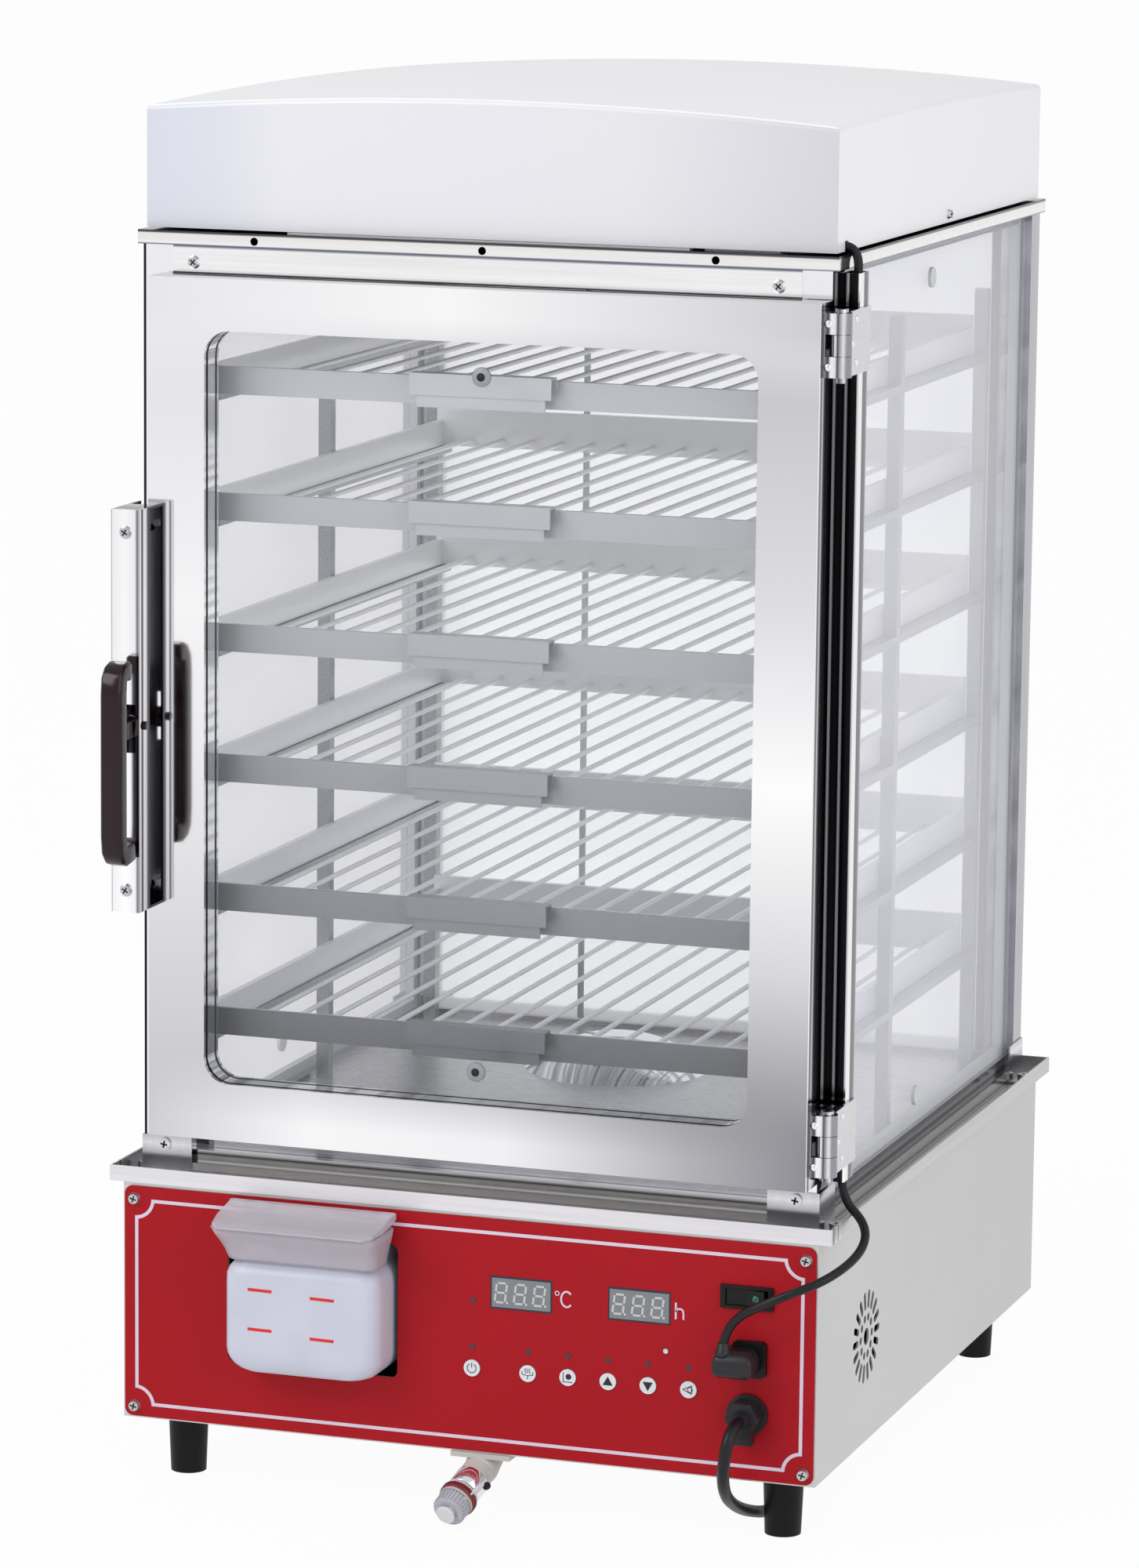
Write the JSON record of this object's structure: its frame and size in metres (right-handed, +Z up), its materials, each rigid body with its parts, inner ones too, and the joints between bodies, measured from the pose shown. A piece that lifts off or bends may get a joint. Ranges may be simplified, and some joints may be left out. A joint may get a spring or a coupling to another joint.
{
  "type": "steam warming cabinet",
  "caption": "Countertop glass steam warming cabinet with a hinged latching door, wire trays, a red control panel, a water bottle and a white crowned top.",
  "frame": {"origin": "on the table, in the plane of the feet, under the middle of the base housing", "axes": "+Z up, the door and the red panel face -Y, +X to the right as seen from the front"},
  "size_m": [0.4539, 0.662, 0.8177],
  "materials": {
    "stainless_brushed": "brushed",
    "stainless_polished": "mirror polished",
    "red_enamel": "satin",
    "white_enamel": "gloss",
    "rubber_black": "matt",
    "rubber_grey": "matt",
    "silicone_white": "matt",
    "plastic_black": "matt",
    "plastic_burgundy": "gloss",
    "plastic_milky": "satin",
    "plastic_frosted": "satin",
    "plastic_white": "satin",
    "plastic_grey": "matt",
    "board_green": "satin",
    "display_grey": "satin",
    "screw_steel": "polished",
    "tray_aluminium": "brushed",
    "glass_clear": "clear",
    "glass_frosted": "frosted",
    "lamp_white": "gloss"
  },
  "bodies": {
    "base": {"base_body": "stainless_brushed", "base_tray": "stainless_brushed", "bottom_plate": "stainless_brushed", "feet": "rubber_black", "front_panel": "red_enamel", "panel_screws": "screw_steel", "control_board": "board_green", "displays": "display_grey", "indicator_lights": "display_grey", "rocker_housing": "plastic_black", "power_inlet": "plastic_black", "cord_gland": "plastic_black", "filler_bottle": "plastic_milky", "drain_valve": "plastic_grey", "boiler_pan": "stainless_brushed", "heater": "stainless_polished", "steam_diffuser": "stainless_polished", "cabinet_floor": "stainless_brushed", "mains_cord": "plastic_black", "mains_cord_coil": "plastic_black", "mains_plug": "plastic_black", "lamp_cable": "plastic_black", "lamp_connector": "plastic_black", "corner_posts": "stainless_polished", "bottom_frame": "stainless_polished", "head_strip": "stainless_polished", "side_glass": "glass_clear", "glass_grommets": "rubber_grey", "rear_glass": "glass_frosted", "glass_seals": "silicone_white", "corner_brackets": "stainless_polished", "top_trim": "stainless_polished", "top_cover": "white_enamel", "cover_lamp": "lamp_white", "cable_duct": "stainless_polished", "shelf_racks": "stainless_brushed", "fixed_hinges": "stainless_polished", "latch_striker": "stainless_polished"},
    "door": {"door_frame": "stainless_polished", "door_glass": "glass_clear", "door_gasket": "silicone_white", "door_hinge_leaves": "stainless_polished", "handle_bracket": "stainless_polished", "handle_screws": "screw_steel"},
    "lever": {"latch_lever": "plastic_burgundy"},
    "rocker": {"rocker": "plastic_black"},
    "filler_lid": {"filler_lid": "plastic_frosted"},
    "drain_cap": {"drain_cap": "plastic_white"},
    "tray_1": {"tray_1": "tray_aluminium"},
    "tray_2": {"tray_2": "tray_aluminium"},
    "tray_3": {"tray_3": "tray_aluminium"},
    "tray_4": {"tray_4": "tray_aluminium"},
    "tray_5": {"tray_5": "tray_aluminium"},
    "tray_6": {"tray_6": "tray_aluminium"},
    "button_power": {"button_power": "plastic_white"},
    "button_steam": {"button_steam": "plastic_white"},
    "button_set": {"button_set": "plastic_white"},
    "button_up": {"button_up": "plastic_white"},
    "button_down": {"button_down": "plastic_white"},
    "button_view": {"button_view": "plastic_white"}
  },
  "joints": [
    {"name": "door_hinge", "type": "hinge", "parent": "base", "child": "door", "pos_m": [0.215, -0.24, 0.462], "axis": [0, 0, 1], "range_deg": [0, 110]},
    {"name": "latch_lever_pivot", "type": "hinge", "parent": "door", "child": "lever", "pos_m": [-0.194, -0.2675, 0.455], "axis": [-1, 0, 0], "range_deg": [0, 12], "stiffness_Nm_per_rad": 0.2, "springref_deg": -5.73},
    {"name": "rocker_pivot", "type": "hinge", "parent": "base", "child": "rocker", "pos_m": [0.1706, -0.24, 0.1456], "axis": [0, 0, 1], "range_deg": [0, 14]},
    {"name": "filler_lid_hinge", "type": "hinge", "parent": "base", "child": "filler_lid", "pos_m": [-0.0915, -0.248, 0.1746], "axis": [1, 0, 0], "range_deg": [-75, 0]},
    {"name": "drain_cap_turn", "type": "hinge", "parent": "base", "child": "drain_cap", "pos_m": [0.0042, -0.2666, 0.0145], "axis": [-0.1804, -0.8895, -0.4199], "range_deg": [0, 180]},
    {"name": "tray_1_slide", "type": "slide", "parent": "base", "child": "tray_1", "axis": [0, -1, 0], "range_m": [0, 0.005]},
    {"name": "tray_2_slide", "type": "slide", "parent": "base", "child": "tray_2", "axis": [0, -1, 0], "range_m": [0, 0.005]},
    {"name": "tray_3_slide", "type": "slide", "parent": "base", "child": "tray_3", "axis": [0, -1, 0], "range_m": [0, 0.005]},
    {"name": "tray_4_slide", "type": "slide", "parent": "base", "child": "tray_4", "axis": [0, -1, 0], "range_m": [0, 0.005]},
    {"name": "tray_5_slide", "type": "slide", "parent": "base", "child": "tray_5", "axis": [0, -1, 0], "range_m": [0, 0.005]},
    {"name": "tray_6_slide", "type": "slide", "parent": "base", "child": "tray_6", "axis": [0, -1, 0], "range_m": [0, 0.005]},
    {"name": "button_power_press", "type": "slide", "parent": "base", "child": "button_power", "axis": [0, 1, 0], "range_m": [0, 0.0008], "stiffness_N_per_m": 300, "springref_m": -0.0002},
    {"name": "button_steam_press", "type": "slide", "parent": "base", "child": "button_steam", "axis": [0, 1, 0], "range_m": [0, 0.0008], "stiffness_N_per_m": 300, "springref_m": -0.0002},
    {"name": "button_set_press", "type": "slide", "parent": "base", "child": "button_set", "axis": [0, 1, 0], "range_m": [0, 0.0008], "stiffness_N_per_m": 300, "springref_m": -0.0002},
    {"name": "button_up_press", "type": "slide", "parent": "base", "child": "button_up", "axis": [0, 1, 0], "range_m": [0, 0.0008], "stiffness_N_per_m": 300, "springref_m": -0.0002},
    {"name": "button_down_press", "type": "slide", "parent": "base", "child": "button_down", "axis": [0, 1, 0], "range_m": [0, 0.0008], "stiffness_N_per_m": 300, "springref_m": -0.0002},
    {"name": "button_view_press", "type": "slide", "parent": "base", "child": "button_view", "axis": [0, 1, 0], "range_m": [0, 0.0008], "stiffness_N_per_m": 300, "springref_m": -0.0002}
  ]
}
